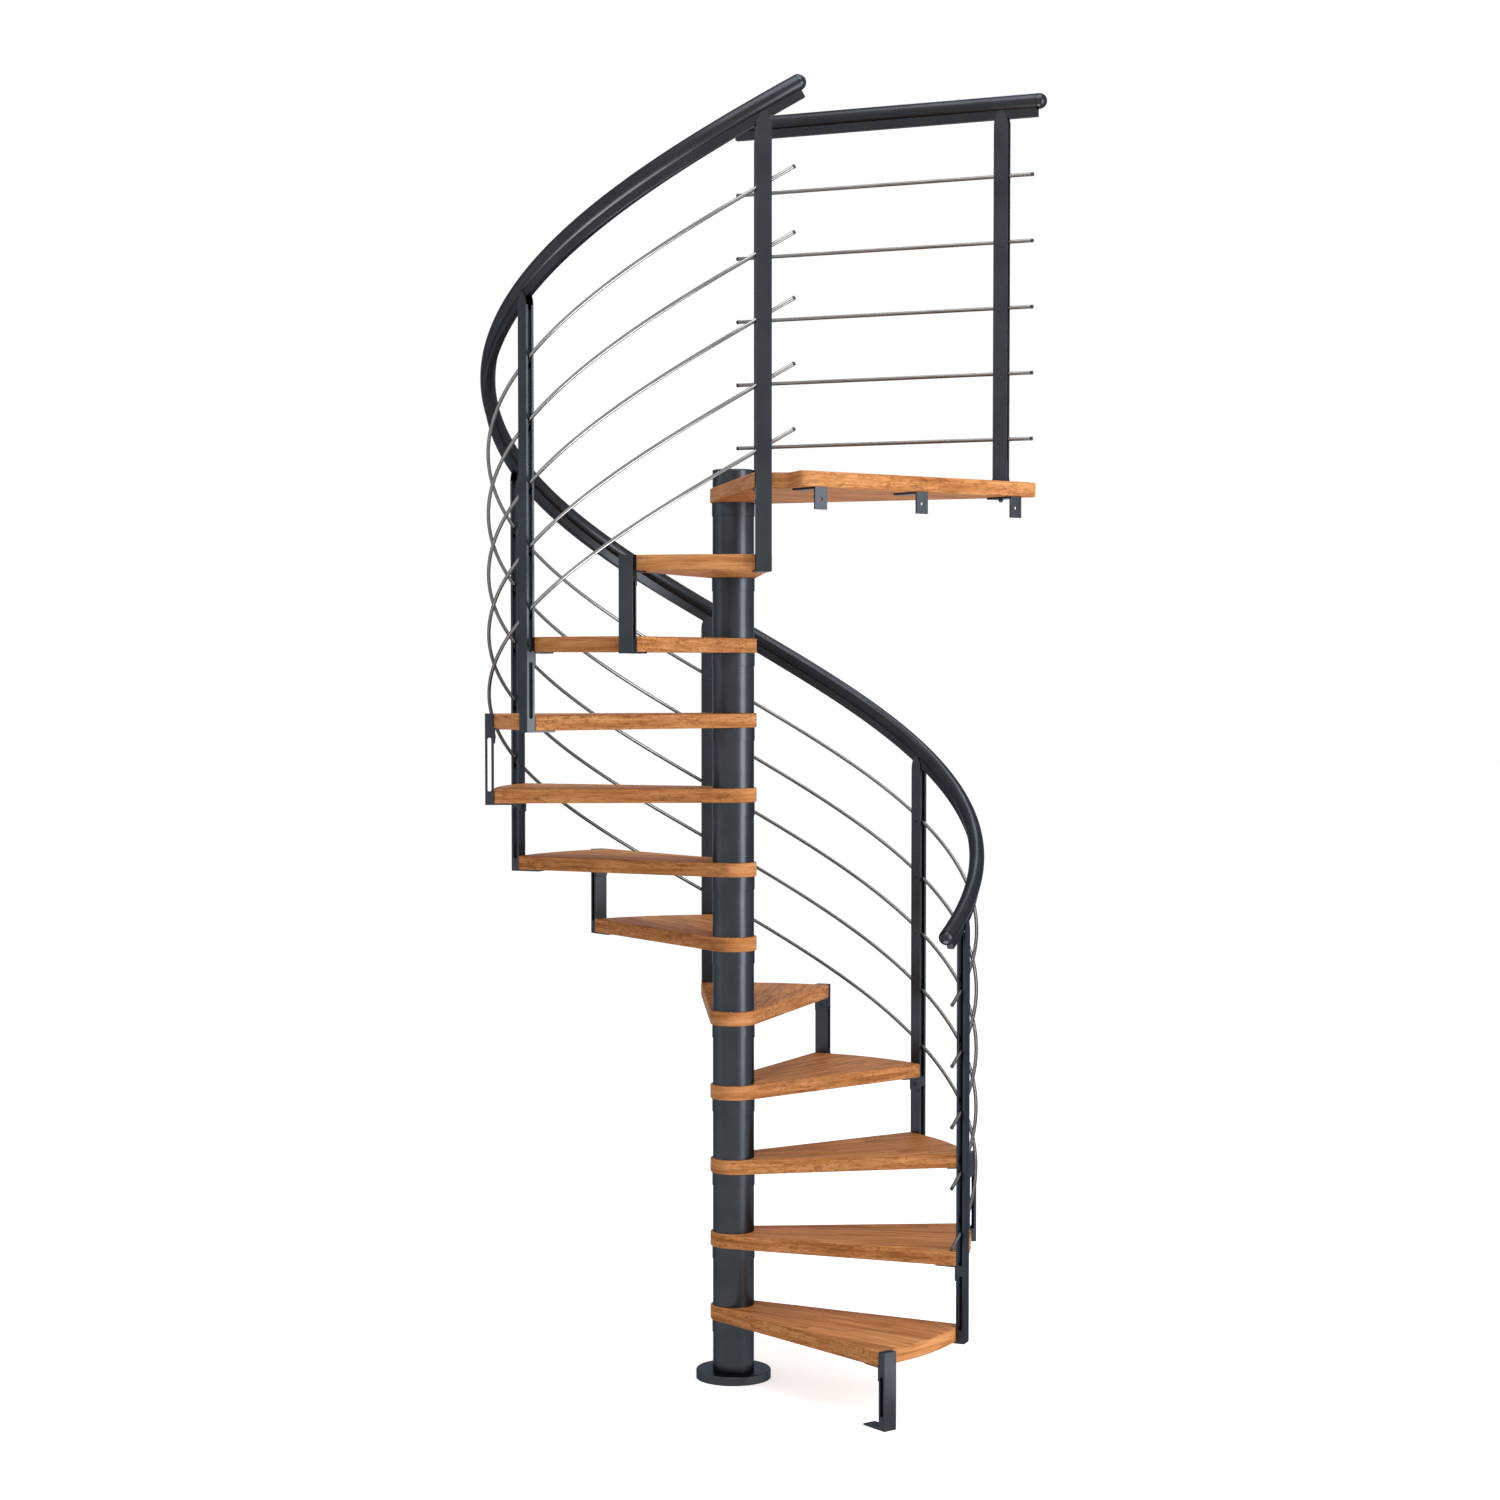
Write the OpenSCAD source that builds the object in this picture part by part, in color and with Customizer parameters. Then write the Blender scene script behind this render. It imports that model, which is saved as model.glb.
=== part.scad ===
/* [Stair] */
// Overall diameter over the handrail
stair_d = 1400; // [1200:10:1800]
// Height of one rise, top of tread to top of tread
rise = 208; // [180:1:230]
// Turn from one tread to the next
step_angle = 30; // [27:0.5:32]

/* [Treads] */
// Thickness of the treads and of the landing
tread_t = 40; // [30:1:50]
// Diameter of the wooden collar round the column
collar_d = 130; // [124:1:160]
// How far a tread runs on past the middle of each bracket
tread_lap = 24; // [20:1:30]

/* [Landing] */
// Angle between the landing's two sides
landing_angle = 60; // [50:1:70]
// Distance from the stair's axis to the landing's front edge
landing_front = 700; // [690:5:800]
// Front corner beside the last post, from the axis
landing_near = 307; // [280:1:320]
// Front corner at the open side, from the axis
landing_far = 494; // [470:1:560]
// How far the cut-out for the last post runs past the post's middle
notch_w = 66; // [60:1:90]
// Rounding of the inner corner of that cut-out
notch_round = 20; // [5:1:25]
// Rounding of the front corner beside it
corner_round = 15; // [5:1:25]

/* [Column] */
// Outer diameter of the column sleeves
sleeve_d = 116; // [100:1:118]
// Outer diameter of the ring under each tread
ring_d = 119.6; // [118:0.2:123]
// Height of the ring under each tread
ring_h = 37; // [20:1:60]
// Wall of the sleeves and rings
sleeve_wall = 4; // [2:0.5:8]
// Outer diameter of the post inside the column
core_d = 60; // [40:1:80]
// Wall of the post inside the column
core_wall = 4; // [2:0.5:8]
// Diameter of the base flange
flange_d = 211; // [160:1:260]
// Height of the base flange
flange_h = 25; // [10:1:40]
// Height of the cap above the landing
cap_h = 52; // [30:1:80]
// Rounding of the flange and the cap
round_r = 4; // [1:0.5:8]

/* [Brackets and posts] */
// Width of the profile, along the stair
post_w = 40; // [30:1:50]
// Depth of the profile, towards the axis
post_depth = 24; // [20:1:36]
// Wall of the profile
post_wall = 2; // [1.5:0.25:3]
// Radius of the two flanks of a post's arched top
arch_r = 60; // [50:1:80]
// Rounding of the tip of the arched top
tip_r = 12; // [6:1:16]
// Thickness of the foot plate
foot_t = 4.5; // [3:0.5:8]
// Reach of the foot plate under the tread
foot_reach = 64; // [40:1:90]
// Diameter of the floor screw hole in the lowest foot
foot_hole_d = 9; // [6:0.5:14]
// Length of the lower side slot
slot_l = 150; // [100:1:160]
// Height of the lower side slot above the foot
slot_foot = 36; // [20:1:50]
// Thickness of the angle under a tread
angle_t = 4; // [3:0.5:6]
// Reach of the angle under a tread
angle_reach = 60; // [40:1:90]
// Drop of the angle below a tread
angle_drop = 43; // [30:1:60]

/* [Railing] */
// Diameter of the handrail tube
rail_d = 42; // [36:1:50]
// Straight collar of an end cap, before its dome
cap_collar = 4; // [2:0.5:8]
// Depth of the fin below the handrail tube
fin_h = 20; // [10:1:30]
// Height of the handrail's middle above a tread, at its post
rail_height = 1138; // [900:1:1200]
// Angle that the handrail runs on before the first post
rail_low_over = 9.3; // [8:0.1:14]
// Angle that the handrail runs on after the last post
rail_up_over = 7.2; // [6:0.1:12]
// Diameter of the rods
rod_d = 10; // [8:0.5:14]
// Height of the lowest rod above a tread, at its post
rod_low = 271; // [240:1:300]
// Distance from the highest rod up to the handrail's middle
rod_top_gap = 205; // [150:1:230]
// Angle that the rods run on past the end posts
rod_over = 6.8; // [4:0.1:9]

/* [Landing railing] */
// Distance of the outer post along the landing's side
side_outer = 762; // [640:1:770]
// Height of the landing handrail's middle above the landing
side_height = 1010; // [900:1:1100]
// Height of the lowest rod above the landing
side_low = 116; // [90:1:150]
// Distance from the highest landing rod up to the handrail's middle
side_top_gap = 192; // [150:1:230]
// Overrun of the landing rods at the outer end, past the post's middle
side_rod_over = 88; // [60:1:110]
// Overrun of the landing rods at the inner end
side_rod_start = 76; // [60:1:110]
// Overrun of the handrail at the outer end
side_rail_over = 99; // [60:1:130]
// Overrun of the handrail at the inner end
side_rail_start = 77; // [60:1:110]
// Height of the flared foot of a landing post
side_foot_h = 12; // [6:1:20]
// How far the foot flares past its post, at each end
side_foot_lip = 2.5; // [1:0.5:4]

/* [Landing brackets] */
// Width of a floor bracket
hook_w = 39; // [30:1:60]
// Thickness of a floor bracket
hook_t = 5; // [4:0.5:8]
// Drop of a floor bracket below the landing
hook_drop = 57; // [40:1:80]
// Reach of a floor bracket under the landing
hook_reach = 95; // [60:1:120]
// Diameter of the screw hole in a floor bracket
hook_hole_d = 9; // [6:0.5:14]
// Distance of that hole below the landing
hook_hole_drop = 31; // [20:1:35]
// Places of the floor brackets along the front edge
hook_x = [-241, 94, 422]; // [-270:1:450]

/* [Hidden] */
$fn = 48;
arc_sides = 360;

tread_count = 11;
rod_count = 5;
first_post = 1;
seat = 0.3;
bore_clear = 0.3;
rod_clear = 0.6;
rod_sides = 8;
rail_facet = 3.75;
rod_facet = 5;
rail_arc_steps = 14;
side_gap = 1;
round_lap = 0.5;
cut = 1;

steel = [0.23, 0.24, 0.26];
wood = [0.72, 0.46, 0.23];
bright = [0.78, 0.78, 0.80];

collar_r = collar_d / 2;
rail_r = (stair_d - rail_d) / 2;
post_out = rail_r + post_depth / 2;
post_in = post_out - post_depth;
tread_r = post_in - seat;
last_angle = 270 - landing_angle / 2;
landing_top = (tread_count + 1) * rise;
landing_under = landing_top - tread_t;
rail_slope = atan(rise / (rail_r * step_angle * PI / 180));
slot_w = rod_d + 2 * rod_clear;
fin_w = post_depth - 2 * post_wall - 2 * seat;
fin_bottom = rail_d / 2 + fin_h;
tip_rise = sqrt(pow(arch_r - tip_r, 2) - pow(arch_r - post_w / 2, 2));
tongue_gap = sqrt(pow(rail_d / 2, 2) - pow(post_depth / 2 - post_wall, 2)) + seat;
rod_pitch = (rail_height - rod_top_gap - rod_low) / (rod_count - 1);
side_pitch = (side_height - side_top_gap - side_low) / (rod_count - 1);
side_angle = 270 + landing_angle / 2;
side_offset = collar_r + side_gap - post_depth / 2;
side_inner = post_w / 2 + side_foot_lip
    + sqrt(pow(sleeve_d / 2 + side_gap, 2) - pow(side_offset - post_depth / 2, 2));

function bracket_angle(k) = last_angle - step_angle * (tread_count - k);
function polar(r, a) = [r * cos(a), r * sin(a)];

// Point of the collar where an edge from the given corner touches it
function touch(corner, side) =
    polar(collar_r, atan2(corner[1], corner[0]) + side * acos(collar_r / norm(corner)));

// The same edge, run on past its corner
function past(corner, side) = corner + (corner - touch(corner, side)) / 4;

module column_tube(d, wall, z_low, z_high) {
    translate([0, 0, z_low])
        linear_extrude(z_high - z_low)
            difference() {
                circle(d = d);
                circle(d = d - 2 * wall);
            }
}

module rounded_disc(d, height) {
    rotate_extrude() {
        square([d / 2 - round_r, height]);
        square([d / 2, height - round_r]);
        translate([d / 2 - round_r, height - round_r])
            intersection() {
                circle(round_r);
                square(round_r);
            }
    }
}

module base_flange() {
    color(steel)
        rounded_disc(flange_d, flange_h);
}

module centre_post() {
    color(steel)
        column_tube(core_d, core_wall, flange_h, landing_top + cap_h / 2);
}

module column_sleeves() {
    color(steel)
        for (n = [0 : tread_count])
            column_tube(sleeve_d, sleeve_wall, n == 0 ? flange_h : n * rise,
                (n + 1) * rise - tread_t - ring_h);
}

module column_rings() {
    color(steel)
        for (n = [1 : tread_count + 1])
            column_tube(ring_d, sleeve_wall, n * rise - tread_t - ring_h, n * rise - tread_t);
}

module column_cap() {
    color(steel)
        translate([0, 0, landing_top])
            difference() {
                rounded_disc(sleeve_d, cap_h);
                translate([0, 0, -cut])
                    cylinder(d = core_d + 2 * bore_clear, h = cap_h / 2 + cut + seat);
            }
}

// Tread with its edges drawn from the collar to its outer corners, its middle along +X
module tread(n) {
    half = step_angle / 2 + asin(tread_lap / tread_r);
    left = polar(tread_r, half);
    right = polar(tread_r, -half);
    color(wood)
        rotate(bracket_angle(n - 0.5))
            translate([0, 0, n * rise - tread_t])
                linear_extrude(tread_t)
                    difference() {
                        union() {
                            circle(d = collar_d);
                            intersection() {
                                circle(tread_r, $fn = arc_sides);
                                polygon([touch(right, -1), past(right, -1), past(left, 1), touch(left, 1)]);
                            }
                        }
                        circle(d = core_d + 2 * bore_clear);
                    }
}

// Middle of a round of radius r in the corner p, between the edges towards a and b
function round_mid(p, a, b, r) =
    let (u = (a - p) / norm(a - p), v = (b - p) / norm(b - p))
    p + (u + v) / norm(u + v) * r / sqrt((1 - u * v) / 2);

// Point just past the place where that round leaves the edge towards a
function round_end(p, a, b, r) =
    let (u = (a - p) / norm(a - p), v = (b - p) / norm(b - p))
    p + u * (r * sqrt((1 + u * v) / (1 - u * v)) + round_lap);

// Landing with a flat edge along the last post, then a cut-out and the front edge
module landing() {
    outwards = polar(1, last_angle);
    along = polar(1, last_angle + 90);
    left = outwards * tread_r - along * tread_lap;
    notch = outwards * tread_r + along * notch_w;
    near = [-landing_near, -landing_front];
    far = [landing_far, -landing_front];
    color(wood)
        translate([0, 0, landing_under])
            linear_extrude(tread_t)
                difference() {
                    union() {
                        circle(d = collar_d);
                        polygon([[0, 0], touch(left, -1), left,
                            round_end(notch, left, near, notch_round),
                            round_end(notch, near, left, notch_round),
                            round_end(near, notch, far, corner_round),
                            round_end(near, far, notch, corner_round), far, touch(far, 1)]);
                        translate(round_mid(near, notch, far, corner_round))
                            circle(corner_round);
                    }
                    translate(round_mid(notch, left, near, notch_round))
                        circle(notch_round);
                    circle(d = core_d + 2 * bore_clear);
                }
}

// Side slot with round ends, cut through both narrow sides of a profile
module side_slot(x, z_low, z_high) {
    translate([x, 0, 0])
        rotate([90, 0, 0])
            linear_extrude(post_w + 2 * cut, center = true) {
                translate([-slot_w / 2, z_low + slot_w / 2])
                    square([slot_w, z_high - z_low - slot_w]);
                translate([0, z_low + slot_w / 2])
                    circle(d = slot_w);
                translate([0, z_high - slot_w / 2])
                    circle(d = slot_w);
            }
}

module profile_box(grow, z_low, z_high) {
    translate([post_in - grow, -post_w / 2 - grow, z_low])
        cube([post_depth + 2 * grow, post_w + 2 * grow, z_high - z_low]);
}

module foot_plate(z_low, drilled) {
    difference() {
        translate([post_in - foot_reach, -post_w / 2, z_low])
            cube([foot_reach + post_depth, post_w, foot_t]);
        if (drilled)
            translate([post_in - foot_reach / 2, 0, z_low - cut])
                cylinder(d = foot_hole_d, h = foot_t + 2 * cut);
    }
}

function foot_z(k) = k == 0 ? 0 : k * rise - tread_t - foot_t;

module bracket(k) {
    z_low = foot_z(k);
    z_high = (k + 1) * rise;
    color(steel)
        rotate(bracket_angle(k)) {
            difference() {
                profile_box(0, z_low, z_high);
                profile_box(-post_wall, z_low + foot_t, z_high - post_wall);
                side_slot(rail_r, z_low + slot_foot, z_low + slot_foot + slot_l);
            }
            foot_plate(z_low, k == 0);
        }
}

// Top of a post: two arched tongues that take the handrail's fin between them
module tongue_cut(z_side, z_top) {
    translate([post_in + post_wall, -post_w / 2 - cut, z_side])
        cube([post_depth - 2 * post_wall, post_w + 2 * cut, z_top - z_side]);
}

// Outline of the arched top: two flanks that end in a round tip, from the arch's foot up
module arch_outline(inset) {
    flank = arch_r - post_w / 2;
    tip_foot = tip_rise * arch_r / (arch_r - tip_r);
    translate([inset - post_w / 2, -cut])
        square([post_w - 2 * inset, cut]);
    intersection() {
        translate([-flank, 0])
            circle(arch_r - inset, $fn = arc_sides);
        translate([flank, 0])
            circle(arch_r - inset, $fn = arc_sides);
        translate([-post_w, -cut / 2])
            square([2 * post_w, cut / 2 + tip_foot]);
    }
    translate([0, tip_rise])
        circle(tip_r - inset);
}

module post_arch(inset, z) {
    translate([post_in + inset, 0, z])
        rotate([90, 0, 90])
            linear_extrude(post_depth - 2 * inset)
                arch_outline(inset);
}

module post(k) {
    z_low = foot_z(k);
    z_rail = k * rise + rail_height;
    z_arch = z_rail - (tongue_gap + tip_r) / cos(rail_slope) - tip_rise;
    z_side = z_rail - fin_bottom / cos(rail_slope) - post_w / 2 * tan(rail_slope) - seat;
    color(steel)
        rotate(bracket_angle(k)) {
            difference() {
                union() {
                    profile_box(0, z_low, z_arch);
                    post_arch(0, z_arch);
                }
                profile_box(-post_wall, z_low + foot_t, z_arch);
                post_arch(post_wall, z_arch);
                tongue_cut(z_side, z_rail);
                side_slot(rail_r, z_low + slot_foot, z_low + slot_foot + slot_l);
                side_slot(rail_r, (k + 1) * rise - tread_t, z_side + slot_w);
            }
            foot_plate(z_low, false);
        }
}

module tread_angles() {
    corner_r = post_w / 5;
    color(steel)
        for (k = [0 : tread_count])
            rotate(bracket_angle(k))
                translate([0, 0, (k + 1) * rise - tread_t]) {
                    translate([post_in - angle_reach, -post_w / 2, -angle_t])
                        cube([angle_reach, post_w, angle_t]);
                    translate([post_in - angle_t, 0, 0])
                        rotate([90, 0, 90])
                            linear_extrude(angle_t) {
                                translate([-post_w / 2, corner_r - angle_drop])
                                    square([post_w, angle_drop - corner_r]);
                                translate([corner_r - post_w / 2, -angle_drop])
                                    square([post_w - 2 * corner_r, corner_r]);
                                for (s = [-1, 1])
                                    translate([s * (post_w / 2 - corner_r), corner_r - angle_drop])
                                        circle(corner_r);
                            }
                }
}

// Least angle between a square end and the next station, for a section that reaches v from its path
function end_room(v, facet) = facet / 8 + v * sin(rail_slope) / rail_r * 180 / PI;

// Stations of a helix: posts lie in the middle of a facet, and both ends are exact
function stations(start, end, facet, below, above) = concat([start],
    [for (i = [0 : (end - start) / facet + 1])
        let (a = start - (start - bracket_angle(first_post)) % facet + (i - 0.5) * facet)
        if (a > start + end_room(below, facet) && a < end - end_room(above, facet)) a], [end]);

function helix_z(a) = first_post * rise + (a - bracket_angle(first_post)) / step_angle * rise;

// Point of a section across the helix, u outwards and v upwards, in the upright plane through the axis
function helix_point(a, r, z, u, v) =
    [(r + u) * cos(a), (r + u) * sin(a), z + helix_z(a) + v / cos(rail_slope)];

// Point of a section that stands square to the helix, as at its ends
function square_point(a, r, z, u, v) = [
    (r + u) * cos(a) + v * sin(rail_slope) * sin(a),
    (r + u) * sin(a) - v * sin(rail_slope) * cos(a),
    z + helix_z(a) + v * cos(rail_slope)];

module helix_sweep(section, angles, facet, z) {
    n = len(section);
    last = len(angles) - 1;
    r = rail_r / cos(facet / 2);
    points = [for (j = [0 : last], p = section) j == 0 || j == last
        ? square_point(angles[j], r, z, p[0], p[1]) : helix_point(angles[j], r, z, p[0], p[1])];
    sides = [for (j = [0 : last - 1], i = [0 : n - 1])
        let (a = j * n + i, b = j * n + (i + 1) % n)
        each [[a, b, b + n], [a, b + n, a + n]]];
    polyhedron(points, concat([[for (i = [n - 1 : -1 : 0]) i]], sides,
        [[for (i = [0 : n - 1]) last * n + i]]), convexity = 10);
}

// Handrail section: a round tube with a fin below it
function rail_section() =
    let (r = rail_d / 2, gap = asin(fin_w / 2 / r))
    concat([[-fin_w / 2, -fin_bottom], [fin_w / 2, -fin_bottom]],
        [for (i = [0 : rail_arc_steps])
            polar(r, gap - 90 + i * (360 - 2 * gap) / rail_arc_steps)]);

function rod_section() = [for (i = [0 : rod_sides - 1]) polar(rod_d / 2, (i + 0.5) * 360 / rod_sides)];

rail_start = bracket_angle(first_post) - rail_low_over;
rail_end = bracket_angle(tread_count) + rail_up_over;

module handrail() {
    color(steel)
        helix_sweep(rail_section(), stations(rail_start, rail_end, rail_facet, fin_bottom, rail_d / 2),
            rail_facet, rail_height);
}

// End cap of a handrail: a straight collar and a dome, along +Z
module end_cap() {
    cylinder(d = rail_d, h = cap_collar);
    translate([0, 0, cap_collar])
        difference() {
            sphere(d = rail_d);
            translate([-rail_d, -rail_d, -2 * rail_d])
                cube(2 * rail_d);
        }
}

module handrail_caps() {
    r = rail_r / cos(rail_facet / 2);
    color(steel) {
        translate(helix_point(rail_start, r, rail_height, 0, 0))
            rotate([0, 90 + rail_slope, rail_start - 90])
                end_cap();
        translate(helix_point(rail_end, r, rail_height, 0, 0))
            rotate([0, 90 - rail_slope, rail_end + 90])
                end_cap();
    }
}

module rod(i) {
    angles = stations(bracket_angle(first_post) - rod_over, bracket_angle(tread_count) + rod_over,
        rod_facet, rod_d / 2, rod_d / 2);
    color(bright)
        helix_sweep(rod_section(), angles, rod_facet, rod_low + (i - 1) * rod_pitch);
}

// Frame of the landing's railing: X along the landing's side, Y outwards, Z up
module on_side(along, z) {
    rotate(side_angle)
        translate([along, side_offset, landing_top + z])
            children();
}

// Foot of a landing post, wider at the bottom
module flared_foot() {
    half = post_w / 2;
    translate([post_in, 0, 0])
        rotate([90, 0, 90])
            linear_extrude(post_depth)
                polygon([[-half - side_foot_lip, 0], [half + side_foot_lip, 0],
                    [half, side_foot_h], [-half, side_foot_h]]);
}

module landing_post(along) {
    z_arch = side_height - tongue_gap - tip_r - tip_rise;
    z_side = side_height - fin_bottom - seat;
    color(steel)
        on_side(along, 0)
            rotate(90)
                translate([-rail_r, 0, 0]) {
                    difference() {
                        union() {
                            profile_box(0, 0, z_arch);
                            flared_foot();
                            post_arch(0, z_arch);
                        }
                        profile_box(-post_wall, side_foot_h, z_arch);
                        post_arch(post_wall, z_arch);
                        tongue_cut(z_side, side_height);
                        side_slot(rail_r, side_low / 2, z_side + slot_w);
                    }
                }
}

module landing_post_inner() {
    landing_post(side_inner);
}

module landing_post_outer() {
    landing_post(side_outer);
}

module landing_handrail() {
    length = side_outer - side_inner + side_rail_start + side_rail_over;
    color(steel)
        on_side(side_inner - side_rail_start, side_height)
            rotate([90, 0, 90])
                linear_extrude(length) {
                    circle(d = rail_d);
                    translate([-fin_w / 2, -fin_bottom])
                        square([fin_w, fin_bottom]);
                }
}

module landing_handrail_caps() {
    color(steel) {
        on_side(side_inner - side_rail_start, side_height)
            rotate([0, -90, 0])
                end_cap();
        on_side(side_outer + side_rail_over, side_height)
            rotate([0, 90, 0])
                end_cap();
    }
}

module landing_rods() {
    length = side_outer - side_inner + side_rod_start + side_rod_over;
    color(bright)
        for (i = [0 : rod_count - 1])
            on_side(side_inner - side_rod_start, side_low + i * side_pitch)
                rotate([0, 90, 0])
                    cylinder(d = rod_d, h = length);
}

module landing_brackets() {
    color(steel)
        for (x = hook_x)
            translate([x - hook_w / 2, -landing_front, landing_under]) {
                translate([0, 0, -hook_t])
                    cube([hook_w, hook_reach, hook_t]);
                difference() {
                    translate([0, 0, -hook_drop])
                        cube([hook_w, hook_t, hook_drop]);
                    translate([hook_w / 2, -cut, -hook_hole_drop])
                        rotate([-90, 0, 0])
                            cylinder(d = hook_hole_d, h = hook_t + 2 * cut);
                }
            }
}

base_flange();
centre_post();
column_sleeves();
column_rings();
column_cap();
tread(1);  // tread_01
tread(2);  // tread_02
tread(3);  // tread_03
tread(4);  // tread_04
tread(5);  // tread_05
tread(6);  // tread_06
tread(7);  // tread_07
tread(8);  // tread_08
tread(9);  // tread_09
tread(10);  // tread_10
tread(11);  // tread_11
landing();
bracket(0);  // bracket_00
bracket(2);  // bracket_02
bracket(4);  // bracket_04
bracket(6);  // bracket_06
bracket(8);  // bracket_08
bracket(10);  // bracket_10
post(1);  // post_01
post(3);  // post_03
post(5);  // post_05
post(7);  // post_07
post(9);  // post_09
post(11);  // post_11
tread_angles();
handrail();
handrail_caps();
rod(1);  // rod_1
rod(2);  // rod_2
rod(3);  // rod_3
rod(4);  // rod_4
rod(5);  // rod_5
landing_post_inner();
landing_post_outer();
landing_handrail();
landing_handrail_caps();
landing_rods();
landing_brackets();
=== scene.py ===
from math import asin, atan, cos, pi, radians, sin

import bmesh
import bpy
from mathutils import Matrix, Vector


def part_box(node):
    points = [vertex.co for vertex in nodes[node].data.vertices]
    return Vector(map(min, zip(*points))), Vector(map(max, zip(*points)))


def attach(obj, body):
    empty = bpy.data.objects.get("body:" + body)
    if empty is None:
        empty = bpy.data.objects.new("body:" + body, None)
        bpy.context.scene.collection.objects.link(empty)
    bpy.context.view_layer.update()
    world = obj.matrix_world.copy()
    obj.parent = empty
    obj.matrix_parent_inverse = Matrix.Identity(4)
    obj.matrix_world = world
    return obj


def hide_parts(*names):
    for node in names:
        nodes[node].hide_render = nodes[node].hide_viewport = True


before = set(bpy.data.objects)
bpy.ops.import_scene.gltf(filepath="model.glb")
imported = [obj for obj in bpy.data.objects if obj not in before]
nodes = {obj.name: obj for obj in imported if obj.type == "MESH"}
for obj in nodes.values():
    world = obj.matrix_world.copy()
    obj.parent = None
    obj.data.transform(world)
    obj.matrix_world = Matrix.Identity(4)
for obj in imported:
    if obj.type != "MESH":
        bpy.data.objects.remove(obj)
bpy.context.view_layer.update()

scene = bpy.context.scene
print("frame loaded:", len(nodes), "nodes")

# the stair's own sizes, in metres and radians, from the frame where it shows them
stair = {"stepAngle": radians(30), "lastAngle": radians(240), "treads": 11, "profileDepth": 0.024}
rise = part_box("tread_02")[1].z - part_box("tread_01")[1].z
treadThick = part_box("tread_01")[1].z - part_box("tread_01")[0].z
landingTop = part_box("landing")[1].z
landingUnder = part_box("landing")[0].z


def bracketAngle(k):
    return stair["lastAngle"] - stair["stepAngle"] * (stair["treads"] - k)


def polar(radius, angle, z=0.0):
    return Vector((radius * cos(angle), radius * sin(angle), z))


# finishes

fullTint = (1.0, 1.0, 1.0)
noTint = (0.0, 0.0, 0.0)


def put(tree, kind, inputs=None, **settings):
    new = tree.nodes.new(kind)
    for key, value in settings.items():
        setattr(new, key, value)
    for key, value in (inputs or {}).items():
        if isinstance(value, bpy.types.NodeSocket):
            tree.links.new(value, new.inputs[key])
        else:
            new.inputs[key].default_value = value
    return new


def newFinish(name):
    finish = bpy.data.materials.new(name)
    finish.use_nodes = True
    tree = finish.node_tree
    return finish, tree, tree.nodes["Principled BSDF"]


def math(tree, operation, a, b=0.0, c=0.0):
    return put(tree, "ShaderNodeMath", {0: a, 1: b, 2: c}, operation=operation).outputs[0]


def ramp(tree, factor, stops):
    new = put(tree, "ShaderNodeValToRGB", {0: factor})
    elements = new.color_ramp.elements
    while len(elements) < len(stops):
        elements.new(0.5)
    for element, (place, colour) in zip(elements, stops):
        element.position = place
        element.color = (*colour, 1.0)
    return new.outputs[0]


def mix(tree, kind, factor, a, b):  # 6, 7 and 2 are the colour sockets
    new = put(tree, "ShaderNodeMix", {0: factor, 6: a, 7: b}, data_type="RGBA", blend_type=kind)
    return new.outputs[2]


def noise(tree, vector, stretch, detail=3.0, roughness=0.5, warp=0.0):
    place = put(tree, "ShaderNodeMapping", {"Vector": vector, "Scale": stretch}).outputs[0]
    return put(tree, "ShaderNodeTexNoise", {"Vector": place, "Scale": 1.0, "Detail": detail,
                                            "Roughness": roughness, "Distortion": warp}).outputs[0]


def linkBump(tree, shader, height, strength, distance):
    bump = put(tree, "ShaderNodeBump", {"Height": height, "Strength": strength, "Distance": distance})
    tree.links.new(bump.outputs[0], shader.inputs["Normal"])


# satin stove enamel on steel: dark mirror colour, with an edge tint that keeps the rims dark
enamel = {"low": (0.042, 0.047, 0.055), "high": (0.053, 0.059, 0.068), "roughness": 0.26,
          "edge": (0.42, 0.44, 0.48, 1.0)}
railSkin = {"low": (0.031, 0.033, 0.038), "high": (0.039, 0.042, 0.048), "roughness": 0.28,
            "edge": (0.46, 0.47, 0.50, 1.0)}
capSkin = {**railSkin, "roughness": 0.23}
satin = {"cloud": (9.0, 9.0, 9.0), "lowAt": 0.35, "highAt": 0.65,
         "peel": (700.0, 700.0, 700.0), "uneven": 0.08, "bump": 0.06, "deep": 0.0002}


def satinEnamel(name, colours):
    finish, tree, shader = newFinish(name)
    place = put(tree, "ShaderNodeTexCoord").outputs["Object"]
    cloud = noise(tree, place, satin["cloud"], detail=4.0)
    peel = noise(tree, place, satin["peel"], detail=2.0)
    tint = ramp(tree, cloud, [(satin["lowAt"], colours["low"]), (satin["highAt"], colours["high"])])
    rough = math(tree, "MULTIPLY_ADD", peel, satin["uneven"], colours["roughness"])
    tree.links.new(tint, shader.inputs["Base Color"])
    tree.links.new(rough, shader.inputs["Roughness"])
    shader.inputs["Metallic"].default_value = 1.0
    shader.inputs["Specular Tint"].default_value = colours["edge"]
    linkBump(tree, shader, peel, satin["bump"], satin["deep"])
    return finish


# drawn steel of the rods: bright on the bent ones; the straight ones get a darker, warmer copy of the same
# steel, painted shade
bright = {"low": (0.235, 0.233, 0.234), "high": (0.295, 0.293, 0.294), "roughness": 0.13,
          "edge": (0.09, 0.09, 0.09, 1.0)}
shadedRodSteel = {"low": (0.190, 0.178, 0.172), "high": (0.240, 0.227, 0.220), "roughness": 0.16,
        "edge": (0.14, 0.13, 0.13, 1.0)}
drawn = {"cloud": (14.0, 14.0, 14.0), "lowAt": 0.3, "highAt": 0.7, "uneven": 0.10}
# painted shade: the rod steel keeps its full colour from a height in metres, and is darkest at a share of that
# height
paintedFootShade = {"fullAt": 2.2, "darkestAt": 0.75, "foot": (0.60, 0.60, 0.61)}


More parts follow.
